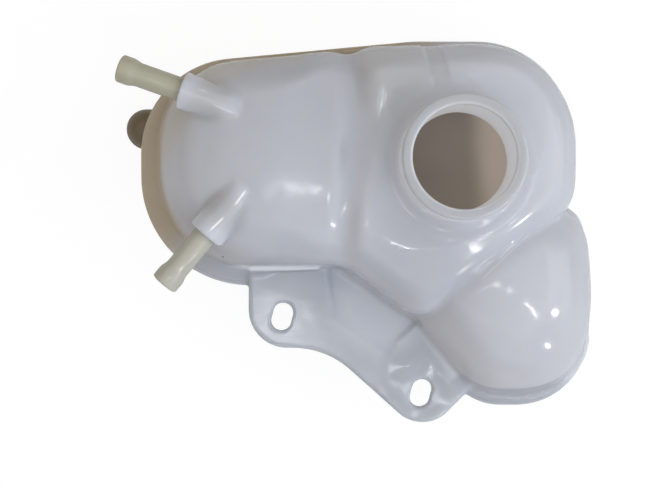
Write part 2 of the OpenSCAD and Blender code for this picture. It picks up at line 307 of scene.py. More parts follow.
def lobe(plan, crown, edge_r, x, y, z):
    """Drafted walls up to a rounded edge under a crown."""
    wall = plan(x, y) + LOBE_DRAFT * np.clip((z - LOBE_FOOT_Z) / LOBE_H, 0, 1)
    return round_max(wall, CROWN_SHARE * (z - crown(x, y)), edge_r)


def lobes(x, y, z):
    """The three lobes, run together in soft valleys."""
    drum = lobe(drum_plan, drum_crown, grow(DRUM_EDGE_R, (-55 - x) / 24), x, y, z)
    main = lobe(main_plan, main_crown, grow(MAIN_EDGE_R, (y - x - 10) / 50), x, y, z)
    front = lobe(front_plan, front_crown, FRONT_EDGE_R, x, y, z)
    ridge = np.exp(-((main - front + CREASE_OFF) / CREASE_W) ** 2)
    main = main - CREASE_H * ridge * ease((z - 70) / 8) * ease((x - 2) / 8)
    valley = grow(VALLEY_W, (z - 56) / 25)
    joined = smooth_min(smooth_min(drum, main, valley), front, FRONT_VALLEY_W)
    return np.maximum(joined, LOBE_FOOT_Z - LOBE_SKIRT - z)


FLASH_TEETH = np.random.default_rng(7).uniform(0.1, 1.0, FLASH_TEETH_N)


def flash(x, y):
    """Height of the ragged strip of flash round the front lobe's foot."""
    around = np.arctan2(y - FLASH_CENTRE[1], x - FLASH_CENTRE[0]) / math.pi + 1
    around = around * FLASH_TEETH_N / 2
    tooth = np.floor(around).astype(int) % FLASH_TEETH_N
    here, after = FLASH_TEETH[tooth], FLASH_TEETH[(tooth + 1) % FLASH_TEETH_N]
    ragged = here + (after - here) * (around % 1)
    start, end = FLASH_SPAN
    reach = ease((around - start) / 2) * ease((end - around) / 2)
    out = front_plan(x, y) - FLASH_OUT - FLASH_W * ragged
    return FLASH_H * ragged * reach * np.exp(-(out / FLASH_W) ** 2)


def lower(x, y, z):
    """The lower half, with the bead of flash at the parting line and the shoulder over it."""
    d = base_plan(x, y)
    drop = np.clip((PARTING_Z - z) / (PARTING_Z - BASE_EDGE_R), 0, 1)
    bead = SEAM_W * np.exp(-((z - PARTING_Z) / SEAM_HALF_H) ** 2)
    walls = round_max(d + BASE_DRAFT * drop - bead, -z, BASE_EDGE_R)
    slope = SHOULDER_RISE / SHOULDER_W
    over = z - PARTING_Z - slope * np.clip(-d, 0, SHOULDER_W + SHOULDER_RUN)
    step = LEDGE_STEP * (1 - ease((-d - LEDGE_RIM) / LEDGE_RIM))
    over = over + step - flash(x, y)
    return round_max(walls, over / math.hypot(1, slope), LEDGE_RIM)


def rolled_lip(x, y, z):
    """The rolled lip where the bracket's plate meets the drum's foot."""
    (ax, ay), (bx, by) = ROLL
    t = np.clip(((x - ax) * (bx - ax) + (y - ay) * (by - ay)) / math.dist(*ROLL) ** 2, 0, 1)
    aside2 = (x - ax - t * (bx - ax)) ** 2 + (y - ay - t * (by - ay)) ** 2
    return np.sqrt(aside2 + (z - BRACKET_TOP - ROLL_RISE) ** 2) - ROLL_R


def scallop(x, y, z):
    """The hollow in the far wall that clears the outlet's leg."""
    return np.maximum(np.hypot(x - OUTLET[0], y - OUTLET[1]) - SCALLOP_R, z - SCALLOP_TOP_Z)


def gutter(x, y):
    """Depth of the shallow drain gutter from the land to the back edge."""
    c, s = unit(GUTTER_LEAN)
    across = np.abs((x - GUTTER_X) * c + y * s)
    along = y * c - (x - GUTTER_X) * s
    inside = ease((GUTTER_HALF_W + GUTTER_EDGE - across) / (2 * GUTTER_EDGE))
    return GUTTER_DEPTH * inside * ease((along - GUTTER_START) / 8)


def pocket_depth(x, y):
    """Depth of the pocket that ramps down between the bracket's lands."""
    (ax, ay), (bx, by) = POCKET_FADE
    past = ((x - ax) * (ay - by) + (y - ay) * (bx - ax)) / math.dist(*POCKET_FADE)
    return POCKET_SLOPE * np.clip(past, 0, 30) * ease(-pocket_plan(x, y) / POCKET_RAMP)


def pad_height(x, y):
    """Height of the faint uneven swelling round each slot."""
    total = 0
    for (sx, sy), height in zip(SLOTS, PAD_H):
        out, around = np.hypot(x - sx, y - sy), np.arctan2(y - sy, x - sx)
        uneven = height * (0.6 + 0.4 * np.cos(4 * around - PAD_TURN))
        total = total + uneven * np.exp(-((out - PAD_R) / PAD_W) ** 2)
    return total


def bracket(x, y, z):
    """The pinched plate with its slots."""
    top = BRACKET_TOP - pocket_depth(x, y) + pad_height(x, y)
    plate = round_max(bracket_plan(x, y), z - top, PLATE_EDGE_R)
    plate = round_max(plate, BRACKET_TOP - BRACKET_T - z, PLATE_UNDER_R)
    c, s = unit(-SLOT_LEAN)
    for sx, sy in SLOTS:
        across = (x - sx) * c + (y - sy) * s
        along = (y - sy) * c - (x - sx) * s
        slot = np.hypot(across, np.maximum(np.abs(along) - SLOT_REACH, 0)) - SLOT_R
        plate = smooth_max(plate, -slot, SLOT_EDGE)
    return plate


def collar_frame(collar, x, y, z):
    """Distance along a collar's axis from its mouth, and distance from the axis."""
    mx, my, angle = collar
    c, s = unit(angle)
    along = (x - mx) * c + (y - my) * s
    return along, np.hypot((y - my) * c - (x - mx) * s, z - SPIGOT_Z)


def with_collars(skin, x, y, z):
    """The skin with its two tapered collars, and the seats bored into them."""
    frames = [collar_frame(collar, x, y, z) for collar in (UPPER_COLLAR, LOWER_COLLAR)]
    for (along, radial), tip_r, blend in zip(frames, COLLAR_TIP_R, COLLAR_BLEND):
        taper = (COLLAR_R - tip_r) * np.clip(-along / COLLAR_L, 0, 1.2)
        ends = np.maximum(along, -COLLAR_L - along)
        skin = smooth_min(skin, round_max(radial - COLLAR_R + taper, ends, COLLAR_EDGE_R), blend)
    for along, radial in frames:
        seat = np.maximum(radial - SPIGOT_R - SEAT_GAP, -SEAT_L - SEAT_END_GAP - along)
        skin = np.maximum(skin, -seat)
    return skin


def round_land(x, y, z):
    """The round land at the neck's foot."""
    flank = np.hypot(x, y) - LAND_R - LAND_SLOPE * (LAND_Z - z)
    return np.maximum(round_max(flank, z - LAND_Z, LAND_EDGE_R), LAND_Z - LAND_SKIRT - z)


def tank(x, y, z):
    """The outer skin without its neck."""
    base = smooth_max(lower(x, y, z), -scallop(x, y, z), SCALLOP_BLEND)
    ground = smooth_min(base, bracket(x, y, z), PLATE_BLEND)
    land_blend = grow(LAND_BLEND, (np.hypot(x, y) - LAND_R) / 4)
    upper = smooth_min(lobes(x, y, z), round_land(x, y, z), land_blend) + gutter(x, y)
    over_plate = ease((x + 60) / 8) * ease((2 - bracket_plan(x, y)) / 8)
    foot_blend = FOOT_BLEND[0] + (FOOT_BLEND[1] - FOOT_BLEND[0]) * over_plate
    skin = smooth_min(upper, ground, foot_blend)
    skin = smooth_min(skin, rolled_lip(x, y, z), ROLL_BLEND)
    return with_collars(skin, x, y, z)


def hollow(x, y, z):
    """The inside of the tank, one wall in from the outer skin."""
    shell = smooth_min(lobes(x, y, z), lower(x, y, z), INSIDE_BLEND) + WALL
    return smooth_max(shell, WALL - scallop(x, y, z), INSIDE_SCALLOP_BLEND)


def elbow(x, y, z):
    """The outlet elbow: a stub, a round knee and a leg with a bead at its end."""
    x, y, z = x - OUTLET[0], y - OUTLET[1], z - OUTLET[2]
    stub_radial, leg_radial = np.hypot(y, z), np.hypot(x, y)
    centre = np.sqrt(x * x + y * y + z * z)
    slim, half_bead = OUTLET_R - OUTLET_STEP, OUTLET_BEAD_L / 2
    stub = np.maximum(round_max(stub_radial - OUTLET_R, x - OUTLET_STUB_L, 0.6), -x)
    seat = np.maximum(round_max(stub_radial - slim, x - OUTLET_SEAT_L, 0.6), -x)
    leg = np.maximum(leg_radial - slim, np.maximum(z, -OUTLET_LEG_L + 0.8 - z))
    bead_ends = np.abs(z + OUTLET_LEG_L - half_bead) - half_bead
    bead = round_max(leg_radial - OUTLET_R, bead_ends, OUTLET_BEAD_EDGE)
    arm = np.minimum(np.minimum(centre - OUTLET_R, stub), seat)
    solid = smooth_min(arm, np.minimum(leg, bead), 1.0)
    stub_bore = np.maximum(stub_radial - OUTLET_BORE_R, -x)
    leg_bore = np.maximum(leg_radial - OUTLET_BORE_R, z)
    bore = np.minimum(stub_bore, np.minimum(leg_bore, centre - OUTLET_BORE_R))
    return np.maximum(solid, -bore)


def box_axes(low, high, step):
    """Evenly spaced grid lines between two corners."""
    return [np.arange(a, b + step, step) for a, b in zip(low, high)]


EDGES = [(a, b) for a in range(8) for b in range(a + 1, 8) if bin(a ^ b).count("1") == 1]
CORNERS = np.array([[(c >> 2) & 1, (c >> 1) & 1, c & 1] for c in range(8)])


def net(field, axes):
    """Vertices and outward quads of a field's zero surface, one vertex in each crossed cell."""
    x, y, z = axes[0][:, None, None], axes[1][None, :, None], axes[2][None, None, :]
    values = np.ascontiguousarray(field(x, y, z) + 0 * (x + y + z))
    inside = values < 0
    count = sum(
        inside[i:i - 1 or None, j:j - 1 or None, k:k - 1 or None].astype(np.int8)
        for i, j, k in CORNERS
    )
    active = (count > 0) & (count < 8)
    cells = np.argwhere(active)
    index = np.full(active.shape, -1)
    index[active] = np.arange(len(cells))
    corner_values = np.stack([values[tuple((cells + c).T)] for c in CORNERS], 1)
    total, hits = np.zeros((len(cells), 3)), np.zeros(len(cells))
    for a, b in EDGES:
        va, vb = corner_values[:, a], corner_values[:, b]
        crossed = (va < 0) != (vb < 0)
        t = np.where(crossed, va / np.where(crossed, va - vb, 1), 0)
        spot = CORNERS[a] + t[:, None] * (CORNERS[b] - CORNERS[a])
        total += spot * crossed[:, None]
        hits += crossed
    share = total / hits[:, None]
    points = np.stack([
        a[c] + f * (a[c + 1] - a[c]) for a, c, f in zip(axes, cells.T, share.T)
    ], 1)
    quads = []
    for axis in range(3):
        n = inside.shape[axis]
        first = inside.take(range(n - 1), axis)
        spots = np.argwhere(first != inside.take(range(1, n), axis))
        eu, ev = np.eye(3, dtype=int)[(axis + 1) % 3], np.eye(3, dtype=int)[(axis + 2) % 3]
        ring = np.stack([index[tuple((spots - o).T)] for o in (eu + ev, ev, 0 * eu, eu)], 1)
        back = ~first[tuple(spots.T)]
        ring[back] = ring[back][:, ::-1]
        quads.append(ring)
    return points, np.concatenate(quads)


def gradient(field, points, reach=0.12):
    """Slope of a field at each point."""
    out = np.empty_like(points)
    for axis in range(3):
        step = np.zeros(3)
        step[axis] = reach
        ahead, behind = field(*(points + step).T), field(*(points - step).T)
        out[:, axis] = (ahead - behind) / (2 * reach)
    return out


def settle(field, points, quads, step):
    """Evens the net out along the surface and puts its vertices on it; returns normals too."""
    for relax in (0.0, 0.5, 0.5, 0.0):
        if relax:
            total, count = np.zeros_like(points), np.zeros(len(points))
            for a in range(4):
                for b in ((a + 1) % 4, (a + 3) % 4):
                    np.add.at(total, quads[:, a], points[quads[:, b]])
                    np.add.at(count, quads[:, a], 1)
            points = points + relax * (total / count[:, None] - points)
        slope = gradient(field, points)
        size2 = np.maximum((slope * slope).sum(1), 0.05)
        move = -(field(*points.T) / size2)[:, None] * slope
        length = np.linalg.norm(move, axis=1)
        points = points + move * np.minimum(1, 0.6 * step / np.maximum(length, 1e-9))[:, None]
    slope = gradient(field, points)
    return points, slope / np.maximum(np.linalg.norm(slope, axis=1), 1e-9)[:, None]


def open_round(points, quads, radius, level, sign):
    """Takes the faces about the neck's axis out of a flat ring and returns the open edge."""
    near = (np.hypot(points[:, 0], points[:, 1]) < radius) & (np.abs(points[:, 2] - level) < 8)
    gone = near[quads].any(1)
    kept = quads[~gone]
    rim = np.intersect1d(quads[gone], kept)
    follow = {}
    edges = set()
    for quad in quads[gone]:
        for a, b in zip(quad, np.roll(quad, -1)):
            edges.add((int(a), int(b)))
    for a, b in edges:
        if (b, a) not in edges:
            follow[a] = b
    start = int(rim[0])
    loop = [start]
    while follow[loop[-1]] != start:
        loop.append(follow[loop[-1]])
    loop = np.array(loop[::sign])
    scale = radius / np.hypot(points[loop, 0], points[loop, 1])
    points[loop, :2] *= scale[:, None]
    points[loop, 2] = level
    return kept, loop


def zip_loops(points, outer, inner):
    """Triangles between two loops about the neck's axis, both counter-clockwise from above."""
    angle = lambda ids: np.arctan2(points[ids, 1], points[ids, 0])
    first = np.argmin(np.abs((angle(outer) - angle(inner)[0] + np.pi) % (2 * np.pi) - np.pi))
    outer = np.roll(outer, -first)
    a = np.unwrap(np.append(angle(outer), angle(outer)[0]))
    b = np.unwrap(np.append(angle(inner), angle(inner)[0]))
    b += 2 * np.pi * np.round((a[0] - b[0]) / (2 * np.pi))
    triangles = []
    i = j = 0
    while i < len(outer) or j < len(inner):
        if j == len(inner) or (i < len(outer) and a[i + 1] <= b[j + 1]):
            triangles.append((outer[i], outer[(i + 1) % len(outer)], inner[j % len(inner)]))
            i += 1
        else:
            triangles.append((outer[i % len(outer)], inner[(j + 1) % len(inner)], inner[j]))
            j += 1
    return np.array(triangles)


def neck_rings():
    """Radius and height of each ring of the neck, from the land over the lip into the tank."""
    rings = [(NECK_CUT_R, LAND_Z)]
    for a in np.linspace(270, 180, 11):
        c, s = unit(a)
        rings.append((NECK_R + ROOT_R * (1 + c), LAND_Z + ROOT_R * (1 + s)))
    first_row = LAND_Z + ROOT_R + 0.5
    rings += [(NECK_R, z) for z in np.arange(first_row, RIM_Z - LIP_R - 0.3, THREAD_ROW)]
    for a in np.linspace(0, 90, 9):
        c, s = unit(a)
        rings.append((NECK_R - LIP_R * (1 - c), RIM_Z - LIP_R * (1 - s)))
    for a in np.linspace(90, 180, 9):
        c, s = unit(a)
        rings.append((BORE_R + LIP_R * (1 + c), RIM_Z - LIP_R * (1 - s)))
    rings += [(BORE_R, z) for z in (119, 115, 110, 105, 100, 96, 93)]
    rings += [(BORE_R, 91.6), (BORE_R + 0.35, 90.75), (BORE_R + 1.2, LAND_Z - WALL)]
    rings.append((BORE_CUT_R, LAND_Z - WALL))
    return rings


def neck():
    """Points and quads of the neck, with the thread's groove cut into its outer wall."""
    rings = np.array(neck_rings())
    theta = np.arange(NECK_SIDES) * 2 * np.pi / NECK_SIDES
    r, z = rings[:, 0][:, None] + 0 * theta, rings[:, 1][:, None] + 0 * theta
    low, high = THREAD_Z
    turn = (z - low) / THREAD_PITCH - theta / (2 * np.pi)
    ridge = ease(THREAD_CREST - THREAD_FLANK * np.abs(turn - np.round(turn)))
    ends = ease((z - low) / THREAD_FADE) * ease((high - z) / THREAD_FADE)
    outside = np.arange(len(rings))[:, None] < np.argmax(rings[:, 1])
    r = r - THREAD_DEPTH * (1 - ridge) * ends * outside
    points = np.stack([r * np.cos(theta), r * np.sin(theta), z], -1).reshape(-1, 3)
    k, j = np.meshgrid(np.arange(len(rings) - 1), np.arange(NECK_SIDES), indexing="ij")
    a, b = k * NECK_SIDES + j, k * NECK_SIDES + (j + 1) % NECK_SIDES
    quads = np.stack([a, b, b + NECK_SIDES, a + NECK_SIDES], -1).reshape(-1, 4)
    return points, quads


def make_object(name, points, faces, normals=None, slots=None):
    """A smooth mesh object from millimetre points."""
    mesh = bpy.data.meshes.new(name)
    mesh.from_pydata((points * MM).tolist(), [], faces)
    mesh.update()
    mesh.polygons.foreach_set("use_smooth", [True] * len(mesh.polygons))
    if slots is not None:
        mesh.polygons.foreach_set("material_index", slots)
    if normals is not None:
        mesh.normals_split_custom_set_from_vertices(normals.tolist())
    piece = bpy.data.objects.new(name, mesh)
    bpy.context.scene.collection.objects.link(piece)
    return piece


def area_normals(points, quads):
    """Normals of a quad mesh at its vertices."""
    across = np.cross(points[quads[:, 2]] - points[quads[:, 0]],
                      points[quads[:, 3]] - points[quads[:, 1]])
    out = np.zeros_like(points)
    for corner in range(4):
        np.add.at(out, quads[:, corner], across)
    return out / np.maximum(np.linalg.norm(out, axis=1), 1e-9)[:, None]


def build_body():
    """The whole moulded body as one closed mesh: outer skin, neck and inner skin."""
    heights = np.concatenate([
        np.arange(-2.8, 45, 3.2), np.arange(45.9, 58, 0.85), np.arange(58.6, 104, OUTER_STEP),
    ])
    outer, outer_quads = net(tank, [
        np.arange(-150, 73, OUTER_STEP), np.arange(-127, 66, OUTER_STEP), heights,
    ])
    outer, outer_normals = settle(tank, outer, outer_quads, OUTER_STEP)
    inner, inner_quads = net(hollow, box_axes((-150, -116, -2), (72, 64, 103), INNER_STEP))
    inner, inner_normals = settle(hollow, inner, inner_quads, INNER_STEP)
    outer_quads, outer_loop = open_round(outer, outer_quads, NECK_CUT_R, LAND_Z, 1)
    inner_quads, inner_loop = open_round(inner, inner_quads, BORE_CUT_R, LAND_Z - WALL, 1)
    outer_normals[outer_loop] = (0, 0, 1)
    inner_normals[inner_loop] = (0, 0, 1)
    middle, middle_quads = neck()
    middle_normals = area_normals(middle, middle_quads)
    middle_normals[:NECK_SIDES] = (0, 0, 1)
    middle_normals[-NECK_SIDES:] = (0, 0, -1)
    points = np.concatenate([outer, middle, inner])
    normals = np.concatenate([outer_normals, middle_normals, -inner_normals])
    shift, shift_inner = len(outer), len(outer) + len(middle)
    first = np.arange(NECK_SIDES) + shift
    last = np.arange(NECK_SIDES) + shift_inner - NECK_SIDES
    seam = zip_loops(points, outer_loop, first)
    inner_seam = zip_loops(points, inner_loop + shift_inner, last)[:, ::-1]
    groups = [outer_quads, middle_quads + shift, seam, inner_seam,
              inner_quads[:, ::-1] + shift_inner]
    faces, slots = [], []
    for slot, group in zip((0, 0, 0, 1, 1), groups):
        faces += group.tolist()
        slots += [slot] * len(group)
    used = np.zeros(len(points), bool)
    for group in groups:
        used[group.ravel()] = True
    place = np.cumsum(used) - 1
    faces = [[int(place[v]) for v in face] for face in faces]
    return make_object("moulded_body", points[used], faces, normals[used], slots)


def turned(name, profile, collar, sides=96):
    """A part turned about a collar's axis from (distance along it, radius) points."""
    mx, my, angle = collar
    c, s = unit(angle)
    theta = np.arange(sides) * 2 * np.pi / sides
    along, r = np.array(profile).T
    d, a = along[:, None] + 0 * theta, r[:, None] * np.cos(theta)
    up = r[:, None] * np.sin(theta)
    points = np.stack([mx + d * c - a * s, my + d * s + a * c, SPIGOT_Z + up], -1)
    count = len(profile)
    k, j = np.meshgrid(np.arange(count), np.arange(sides), indexing="ij")
    after = (k + 1) % count
    quads = np.stack([k * sides + j, after * sides + j, after * sides + (j + 1) % sides,
                      k * sides + (j + 1) % sides], -1).reshape(-1, 4)
    return make_object(name, points.reshape(-1, 3), quads[:, ::-1].tolist())


def spigot_profile(length):
    """Outside, beaded tip and bore of a hose spigot, with softened edges."""
    seat, tip, bead = SPIGOT_R - 0.1, SPIGOT_R + BEAD_STEP, length - BEAD_L
    chamfer, slope_start, slope_l, tip_edge, bore_edge = 0.4, 4.4, 4.6, 1.1, 0.6
    profile = [
        (chamfer - SEAT_L, SPIGOT_BORE_R), (-SEAT_L, SPIGOT_BORE_R + chamfer),
        (-SEAT_L, seat - chamfer), (chamfer - SEAT_L, seat), (0.4, seat), (0.6, SPIGOT_R),
        (bead - slope_start, SPIGOT_R),
    ]
    profile += [(bead - slope_start + slope_l * t, SPIGOT_R + BEAD_STEP * float(ease(t)))
                for t in (0.15, 0.3, 0.45, 0.6, 0.75, 0.9, 1.0)]
    profile += [(length - tip_edge * (1 - math.sin(a)), tip - tip_edge * (1 - math.cos(a)))
                for a in np.linspace(0, math.pi / 2, 7)]
    profile += [(length - bore_edge * (1 - math.cos(a)),
                 SPIGOT_BORE_R + bore_edge * (1 - math.sin(a)))
                for a in np.linspace(0, math.pi / 2, 6)]
    return profile


# Colours of the shell's tints, most of them painted shade or painted light, and of the light
# painted into it as emission, linear
SHELL_COLOURS = (0.645, 0.672, 0.735), (0.705, 0.732, 0.80)
TINTS = {
    # Painted shade on the lobes' walls over the bracket
    "flank": (0.50, 0.51, 0.535),
    # Painted shade, bluish, on the bracket's plate and the low front ledge
    "plate": (0.50, 0.53, 0.585),
    # Painted light in the pocket, paler than the plate's painted shade, lifting the pocket's shadow
    "pocket": (0.60, 0.63, 0.69),
    # Painted shade on the main lobe's front wall
    "front": (0.57, 0.595, 0.655),
    # Painted warm shade on the main lobe behind and left of the neck
    "back": (0.63, 0.64, 0.66),
    # Painted light along the lobes' wall foot over the bracket, lifting the crease's shade
    "wall_foot": (0.70, 0.725, 0.775),
    # Painted shade round the collars' roots
    "collar": (0.53, 0.545, 0.565),
    # Painted shade on the top of the neck
    "rim": (0.51, 0.53, 0.565),
    # Painted warm shade on the drum's back left, low on its walls
    "warm": (0.60, 0.575, 0.52),
    # Painted brown shade on the left ledge and the lower walls by it
    "painted_brown_shade": (0.50, 0.43, 0.325),
    "dirt": (0.06, 0.045, 0.03),
}
# Painted light: warm emission over the drum's left end
DRUM_PAINTED_LIGHT = (0.034, 0.030, 0.026)
# Painted light: emission on the bore's wall
BORE_PAINTED_LIGHT = (0.115, 0.118, 0.12)
# Painted light: emission on the neck's outer side
NECK_PAINTED_LIGHT = (0.085, 0.082, 0.078)
# Painted highlight: emission along the rolled lip
ROLL_PAINTED_HIGHLIGHT = (0.23, 0.235, 0.24)
# Painted light inside the tank: emission dim on the left, brighter on the right
INSIDE_PAINTED_LIGHT = (0.022, 0.020, 0.018), (0.19, 0.16, 0.135)
# Painted light on the lower hose tube
LOWER_TUBE_PAINTED_LIGHT = (0.575, 0.565, 0.485)

# Where the shell's small tints and lines are: painted light along the wall foot, painted shade
# round the collars' roots, and specks of dirt
WALL_FOOT_LINES = (((-50, -50), (-14, -71)), ((-11.5, -73), (4, -98)))
COLLAR_ROOTS = ((-101, -22, 85), (-109, 28, 85))
SPECKS = ((-103.5, -36.1, 84.8), (-103.8, -41.5, 68.7), (0.6, 21.5, 116.5))

# Painted highlight lines on the collars' ridges and in the front valley: both ends, width and
# brightness
PAINTED_HIGHLIGHT_LINES = (
    ((-107.2, -29.8), (-101.2, -24.0), 0.75, 0.40),
    ((-96.5, -18.8), (-91.8, -12.4), 0.75, 0.40),
    ((-105.9, 24.9), (-96.4, 21.1), 0.6, 0.14),
    ((-112.3, 31.6), (-108.5, 30.4), 0.6, 0.14),
    ((11.5, -50.8), (33.0, -30.6), 0.55, 0.10),
    ((18.8, -42.2), (25.2, -35.6), 0.55, 0.12),
)


class Graph:
    """The nodes of a material or world, and the few operations that its look is made of.

    A mask is a socket that runs from 0 to 1. Its places and distances are given in millimetres.
    """

    def __init__(self, owner):
        owner.use_nodes = True
        self.nodes, self.links = owner.node_tree.nodes, owner.node_tree.links

    def place(self):
        """A point's place in the object's metres."""
        return self.nodes.new("ShaderNodeTexCoord").outputs["Object"]

    def maths(self, operation, *values):
        """A number worked out from sockets and plain numbers."""
        node = self.nodes.new("ShaderNodeMath")
        node.operation = operation
        for slot, value in zip(node.inputs, values):
            if isinstance(value, bpy.types.NodeSocket):
                self.links.new(value, slot)
            else:
                slot.default_value = value
        return node.outputs["Value"]

    def product(self, first, *others):
        """The product of two or more masks."""
        for other in others:
            first = self.maths("MULTIPLY", first, other)
        return first

    def noise(self, scale, detail):
        """Cloudy noise over the object."""
        texture = self.nodes.new("ShaderNodeTexNoise")
        texture.inputs["Scale"].default_value = scale
        texture.inputs["Detail"].default_value = detail
        self.links.new(self.place(), texture.inputs["Vector"])
        return texture.outputs["Fac"]

    def spread(self, value, low, high, low_at=0.3, high_at=0.7):
        """Maps a value to a range of numbers, or of colours where low and high are colours."""
        if isinstance(low, tuple):
            ramp = self.nodes.new("ShaderNodeValToRGB")
            ramp.color_ramp.interpolation = "EASE"
            for i, (at, colour) in enumerate(((low_at, low), (high_at, high))):
                ramp.color_ramp.elements[i].position = at
                ramp.color_ramp.elements[i].color = (*colour, 1)
            self.links.new(value, ramp.inputs["Fac"])
            return ramp.outputs["Color"]
        ranged = self.nodes.new("ShaderNodeMapRange")
        ranged.interpolation_type = "SMOOTHSTEP"
        for key, number in (("From Min", low_at), ("From Max", high_at),
                            ("To Min", low), ("To Max", high)):
            ranged.inputs[key].default_value = number
        self.links.new(value, ranged.inputs["Value"])
        return ranged.outputs["Result"]

    def along(self, direction, start, end):
        """From 0 to 1 along a direction."""
        dot = self.nodes.new("ShaderNodeVectorMath")
        dot.operation = "DOT_PRODUCT"
        dot.inputs[1].default_value = direction
        self.links.new(self.place(), dot.inputs[0])
        return self.spread(dot.outputs["Value"], 0.0, 1.0, start * MM, end * MM)

    def above(self, low, high):
        """From 0 to 1 between two heights."""
        return self.along((0, 0, 1), low, high)

    def below(self, low, high):
        """From 1 to 0 between two heights."""
        return self.along((0, 0, -1), -high, -low)

    def near(self, centre, inside, outside, stretch=(1, 1, 0)):
        """From 1 to 0 with the distance from an upright line, or from a point."""
        shifted = self.nodes.new("ShaderNodeVectorMath")
        shifted.operation = "MULTIPLY_ADD"
        shifted.inputs[1].default_value = stretch
        shifted.inputs[2].default_value = [-c * k * MM for c, k in zip(centre, stretch)]
        self.links.new(self.place(), shifted.inputs[0])
        length = self.nodes.new("ShaderNodeVectorMath")
        length.operation = "LENGTH"
        self.links.new(shifted.outputs["Vector"], length.inputs[0])
        return self.spread(length.outputs["Value"], 1.0, 0.0, inside * MM, outside * MM)

    def streak(self, a, b, width):
        """1 on a straight line in plan from a to b, 0 a width away from it."""
        (ax, ay), (bx, by) = a, b
        length = math.dist(a, b)
        ux, uy = (bx - ax) / length, (by - ay) / length
        off, start = ay * ux - ax * uy, ax * ux + ay * uy
        across = self.product(self.along((-uy, ux, 0), off - width, off),
                              self.along((uy, -ux, 0), -off - width, -off))
        ends = self.product(self.along((ux, uy, 0), start - 1, start + 2),
                            self.along((-ux, -uy, 0), -start - length - 1, -start - length + 2))
        return self.product(across, ends)

    def mixed(self, factor, a, b, blend="MIX"):
        """The socket a turned to colour b by a factor, or with b added."""
        mix = self.nodes.new("ShaderNodeMix")
        mix.data_type = "RGBA"
        mix.blend_type = blend
        self.links.new(factor, mix.inputs["Factor"])
        self.links.new(a, mix.inputs["A"])
        mix.inputs["B"].default_value = (*b, 1)
        return mix.outputs["Result"]

    def bumped(self, height, strength, distance):
        """A surface normal rippled by a height."""
        bump = self.nodes.new("ShaderNodeBump")
        bump.inputs["Strength"].default_value = strength
        bump.inputs["Distance"].default_value = distance
        self.links.new(height, bump.inputs["Height"])
        return bump.outputs["Normal"]


def plastic(name, colours, rough, subsurface, radius, grain):
    """Moulded plastic: cloudy colour, a slightly uneven gloss and a fine surface ripple."""
    material = bpy.data.materials.new(name)
    graph = Graph(material)
    shader = graph.nodes["Principled BSDF"]
    shader.inputs["Subsurface Weight"].default_value = subsurface
    shader.inputs["Subsurface Radius"].default_value = (1.0, 0.9, 0.75)
    shader.inputs["Subsurface Scale"].default_value = radius * MM
    shader.inputs["IOR"].default_value = 1.5
    cloud, patch, ripple = graph.noise(14, 3), graph.noise(45, 3), graph.noise(grain, 2)
    graph.links.new(graph.spread(cloud, *colours), shader.inputs["Base Color"])
    graph.links.new(graph.spread(patch, *rough), shader.inputs["Roughness"])
    graph.links.new(graph.bumped(ripple, 0.12, 0.0004), shader.inputs["Normal"])
    return material, graph, shader


def shell_tints(graph, plate):
    """Masks and names of the shell's tints, in the order in which they are laid on. All but the
    dirt specks are painted shade or painted light.
    """
    low, high = graph.below(57, 61), graph.above(62, 75)
    foot = graph.product(graph.above(54, 57), graph.below(60, 74))
    wall = graph.product(graph.below(72, 88), graph.above(56, 66))
    # Heights of the painted brown shade
    brown_shade_heights = graph.product(graph.below(58, 68), graph.above(36, 49))
    point = (1, 1, 1)
    tints = [
        # Painted shade on the lobes' walls over the bracket
        (graph.product(wall, graph.along((-0.6, -1, 0), 80, 102)), "flank"),
        # Painted shade, bluish, on the bracket's plate and the low front ledge
        (plate, "plate"),
        # Painted light in the pocket, lifting its shadow
        (graph.product(low, graph.near((-33, -66, 0), 12, 27)), "pocket"),
        # Painted shade on the main lobe's front wall
        (graph.product(high, graph.near((-14, -46, 0), 10, 36)), "front"),
        # Painted warm shade on the main lobe behind and left of the neck
        (graph.product(high, graph.near((-28, 40, 0), 6, 30)), "back"),
    ]
    # Painted light along the lobes' wall foot, lifting the crease's shade
    tints += [(graph.product(foot, graph.streak(a, b, 5)), "wall_foot") for a, b in WALL_FOOT_LINES]
    # Painted shade round the collars' roots
    tints += [(graph.near(root, 6, 14, point), "collar") for root in COLLAR_ROOTS]
    tints += [
        # Painted shade on the top of the neck
        (graph.product(graph.above(117, 120), graph.near((0, 0, 0), 27, 29)), "rim"),
        # Painted warm shade on the drum's back left, low on its walls
        (graph.product(graph.below(72, 90), graph.along((-0.7, 1.1, 0), 80, 112)), "warm"),
        # Painted brown shade on the left ledge and the lower walls by it
        (graph.product(brown_shade_heights, graph.along((-1, 1.2, 0), 50, 105)), "painted_brown_shade"),
    ]
    tints += [(graph.near(spot, 0.25, 0.75, (1, 1, 0.5)), "dirt") for spot in SPECKS]
    return tints


